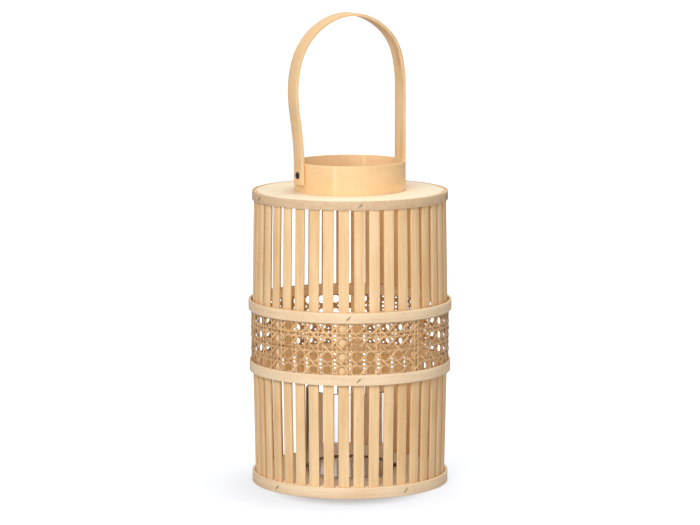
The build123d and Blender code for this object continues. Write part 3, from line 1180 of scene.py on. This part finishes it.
class LANTERN_OT_rivets(bpy.types.Operator):
    """Two domed rivets, each spread over a flat washer inside the collar"""

    bl_idname = "lantern.rivets"
    bl_label = "Rivets and washers"

    dome_steps = 6
    brim_share = 0.25
    least_share = 0.05

    def dome(self, name, radius, height, place, way):
        """A head built up in narrowing steps from a flat round blank."""
        made = round_blank(name, radius, 0, self.brim_share * height, 40)
        with edit(made):
            choose(made, "FACE", lambda f: f.normal.z > 0.9)
            for i in range(self.dome_steps):
                now, then = (math.sin(0.5 * math.pi * k / self.dome_steps) for k in (i, i + 1))
                share = math.sqrt(max(0.0, 1 - then**2)) / math.sqrt(max(1e-9, 1 - now**2))
                share = max(share, self.least_share)
                rise = (1 - self.brim_share) * height * (then - now)
                bpy.ops.mesh.extrude_region_move(TRANSFORM_OT_translate={"value": (0, 0, rise)})
                bpy.ops.transform.resize(value=(share, share, 1))
        lay_across(made, place, way)
        return made

    def execute(self, context):
        sizes = context.scene.lantern_sizes
        strap_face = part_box("handle")[1].x
        for side, way in (("left", -1), ("right", 1)):
            node = f"rivet_{side}"
            low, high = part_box(node)
            tail, reach = sorted((abs(low.x), abs(high.x)))
            head_radius = (high.z - low.z) / 2
            head = self.dome(f"{node}_head", head_radius, reach - strap_face, way * strap_face, way)
            shank = round_blank(f"{node}_shank", sizes.rivet_shank, 0, strap_face - tail, 24)
            lay_across(shank, way * tail, way)
            inside = self.dome(
                f"{node}_tail", sizes.rivet_tail_radius, sizes.rivet_tail_height,
                way * (tail + sizes.rivet_tail_height), -way,
            )
            rivet = join([shank, inside, head], f"domed_{node}")
            smooth(rivet, 35)
            hand_over(rivet, "cage", "dark_rivet", MATERIALS["rivet"], node)
            washer_node = f"rivet_washer_{side}"
            washer = copy_of_node(washer_node, f"flat_{washer_node}")
            round_edges(washer, 0.15 * MM)
            smooth(washer, 30)
            hand_over(washer, "cage", "dark_rivet", MATERIALS["rivet"], washer_node)
        return {"FINISHED"}


class LANTERN_OT_staples(bpy.types.Operator):
    """The wire staples that hold the hoops"""

    bl_idname = "lantern.staples"
    bl_label = "Staples"

    def execute(self, context):
        staples = copy_of_node("hoop_staples", "wire_staples")
        round_edges(staples, context.scene.lantern_sizes.staple_rounding, 2, 50)
        smooth(staples, 50)
        hand_over(staples, "cage", "staple_wire", MATERIALS["staple"], "hoop_staples")
        return {"FINISHED"}


def circle_at(z):
    """A test for the edges that run round the axis at a height."""

    def test(edge):
        level = all(abs(v.co.z - z) < MM / 10 for v in edge.verts) and not edge.is_boundary
        return level and len({round(math.hypot(v.co.x, v.co.y), 4) for v in edge.verts}) == 1

    return test


class LANTERN_OT_glass(bpy.types.Operator):
    """The loose glass cylinder"""

    bl_idname = "lantern.glass"
    bl_label = "Glass"

    def execute(self, context):
        sizes = context.scene.lantern_sizes
        radius = radii("glass_cylinder")[1]
        z_low, z_high = heights("glass_cylinder")
        bore = min(math.hypot(p.x, p.y) for p in corners("glass_cylinder") if p.z > (z_low + z_high) / 2)
        inside = [p.z for p in corners("glass_cylinder") if math.hypot(p.x, p.y) < bore + MM / 20]
        floor = min(inside)
        glass = round_blank("loose_glass", radius, z_low, z_high, 128)
        circles = (
            (z_low, sizes.glass_foot_rounding, 5),
            (z_high, sizes.glass_rim_rounding, 5),
            (floor, sizes.glass_inner_rounding, 4),
        )
        with edit(glass):
            choose(glass, "FACE", lambda f: f.normal.z > 0.9)
            bpy.ops.mesh.inset(thickness=radius - bore)
            bpy.ops.mesh.extrude_region_move(TRANSFORM_OT_translate={"value": (0, 0, floor - z_high)})
            for z, rounding, segments in circles:
                choose(glass, "EDGE", circle_at(z))
                bpy.ops.mesh.bevel(offset=rounding, segments=segments, affect="EDGES")
        smooth(glass, 50)
        hand_over(glass, "glass", "clear_glass", MATERIALS["glass"], "glass_cylinder")
        return {"FINISHED"}


# ---- stage


class LANTERN_OT_stage(bpy.types.Operator):
    """A pale floor, soft studio light and the camera"""

    bl_idname = "lantern.stage"
    bl_label = "Stage"

    camera_angle = 241.5
    camera_distance = 2.9848
    camera_height = 0.6232
    camera_down = 8.08
    lens = 171.3
    centre = (0, 0, 0.2)
    world_strength = 0.46
    world_strength_through_glass = 1.0
    inner_power = 0.045
    inner_colour = (1.0, 0.93, 0.62)
    inner_size = 0.03
    inner_height = 0.11
    softboxes = {
        "key_softbox": {"angle": -20, "distance": 1.6, "height": 1.1, "size": 0.9, "power": 19},
        "fill_softbox": {"angle": 27, "distance": 1.9, "height": 0.6, "size": 1.0, "power": 4.6},
        "top_softbox": {"angle": 120, "distance": 0.4, "height": 1.7, "size": 0.9, "power": 9},
    }

    def softbox(self, name, angle, distance, height, size, power):
        """A square area light that faces the lantern's middle."""
        light = bpy.data.lights.new(name, "AREA")
        light.shape = "SQUARE"
        light.size = size
        light.energy = power
        lamp = bpy.data.objects.new(name, light)
        lamp.location = self.around(angle, distance, height)
        heading = Vector(self.centre) - lamp.location
        lamp.rotation_euler = heading.to_track_quat("-Z", "Y").to_euler()
        bpy.context.scene.collection.objects.link(lamp)

    def inner_fill(self):
        """A weak warm light inside, for the light that slats throw at one another, never seen itself."""
        light = bpy.data.lights.new("inner_fill", "POINT")
        light.energy = self.inner_power
        light.color = self.inner_colour
        light.shadow_soft_size = self.inner_size
        lamp = bpy.data.objects.new("inner_fill", light)
        lamp.location = (0, 0, self.inner_height)
        lamp.visible_camera = False
        lamp.visible_glossy = False
        lamp.visible_transmission = False
        bpy.context.scene.collection.objects.link(lamp)

    def around(self, angle, distance, height):
        """A point at an angle from the camera's own side of the lantern, positive to its right."""
        turn = math.radians(self.camera_angle + angle)
        return (distance * math.cos(turn), distance * math.sin(turn), height)

    def studio_world(self):
        """A white world, brighter for rays that have gone through glass."""
        world = bpy.data.worlds.new("studio")
        world.use_nodes = True
        back = world.node_tree.nodes["Background"]
        back.inputs["Color"].default_value = (1, 1, 1, 1)
        w = Wiring(world.node_tree)
        through = w.add("ShaderNodeLightPath").outputs["Is Transmission Ray"]
        ends = (self.world_strength, self.world_strength_through_glass)
        w.give(back.inputs["Strength"], w.between(through, 0.0, 1.0, *ends))
        return world

    def camera(self):
        """A long lens that looks a little down on the lantern."""
        lens = bpy.data.cameras.new("camera")
        lens.lens = self.lens
        lens.sensor_width = 36
        lens.clip_end = 60
        camera = bpy.data.objects.new("camera", lens)
        camera.location = self.around(0, self.camera_distance, self.camera_height)
        turn = math.radians(self.camera_angle)
        heading = math.atan2(math.cos(turn), -math.sin(turn))
        camera.rotation_euler = (math.radians(90 - self.camera_down), 0, heading)
        return camera

    def execute(self, context):
        scene = context.scene
        bpy.ops.object.select_all(action="DESELECT")
        bpy.ops.mesh.primitive_plane_add(size=40, location=(0, 0, 0))
        floor = settle("studio_floor")
        floor.data.materials.append(MATERIALS["floor"])

        scene.world = self.studio_world()
        for name, settings in self.softboxes.items():
            self.softbox(name, **settings)
        self.inner_fill()
        scene.camera = self.camera()
        scene.collection.objects.link(scene.camera)
        scene.view_settings.view_transform = "Standard"
        return {"FINISHED"}


# ---- panel and main


PIECE_OPERATORS = (
    LANTERN_OT_slats,
    LANTERN_OT_hoops,
    LANTERN_OT_webbing,
    LANTERN_OT_discs,
    LANTERN_OT_collar,
    LANTERN_OT_handle,
    LANTERN_OT_rivets,
    LANTERN_OT_staples,
    LANTERN_OT_glass,
    LANTERN_OT_stage,
)


class LANTERN_PT_panel(bpy.types.Panel):
    """Lists the lantern's steps, sizes and colours"""

    bl_idname = "LANTERN_PT_panel"
    bl_label = "Bamboo lantern"
    bl_space_type = "VIEW_3D"
    bl_region_type = "UI"
    bl_category = "Lantern"

    def draw(self, context):
        for operator in PIECE_OPERATORS:
            self.layout.operator(operator.bl_idname)
        scene = context.scene
        for title, group_of in (("Sizes", scene.lantern_sizes), ("Colours", scene.lantern_colours)):
            box = self.layout.box()
            box.label(text=title)
            for key in group_of.bl_rna.properties.keys():
                if key not in ("rna_type", "name"):
                    box.prop(group_of, key)


CLASSES = (LanternSizes, LanternColours, *PIECE_OPERATORS, LANTERN_PT_panel)


def register():
    for cls in CLASSES:
        bpy.utils.register_class(cls)
    bpy.types.Scene.lantern_sizes = bpy.props.PointerProperty(type=LanternSizes)
    bpy.types.Scene.lantern_colours = bpy.props.PointerProperty(type=LanternColours)


def unregister():
    del bpy.types.Scene.lantern_colours
    del bpy.types.Scene.lantern_sizes
    for cls in reversed(CLASSES):
        bpy.utils.unregister_class(cls)


def main():
    register()
    make_materials(bpy.context.scene.lantern_colours)
    for operator in PIECE_OPERATORS:
        category, name = operator.bl_idname.split(".")
        getattr(getattr(bpy.ops, category), name)()


if __name__ == "__main__":
    main()
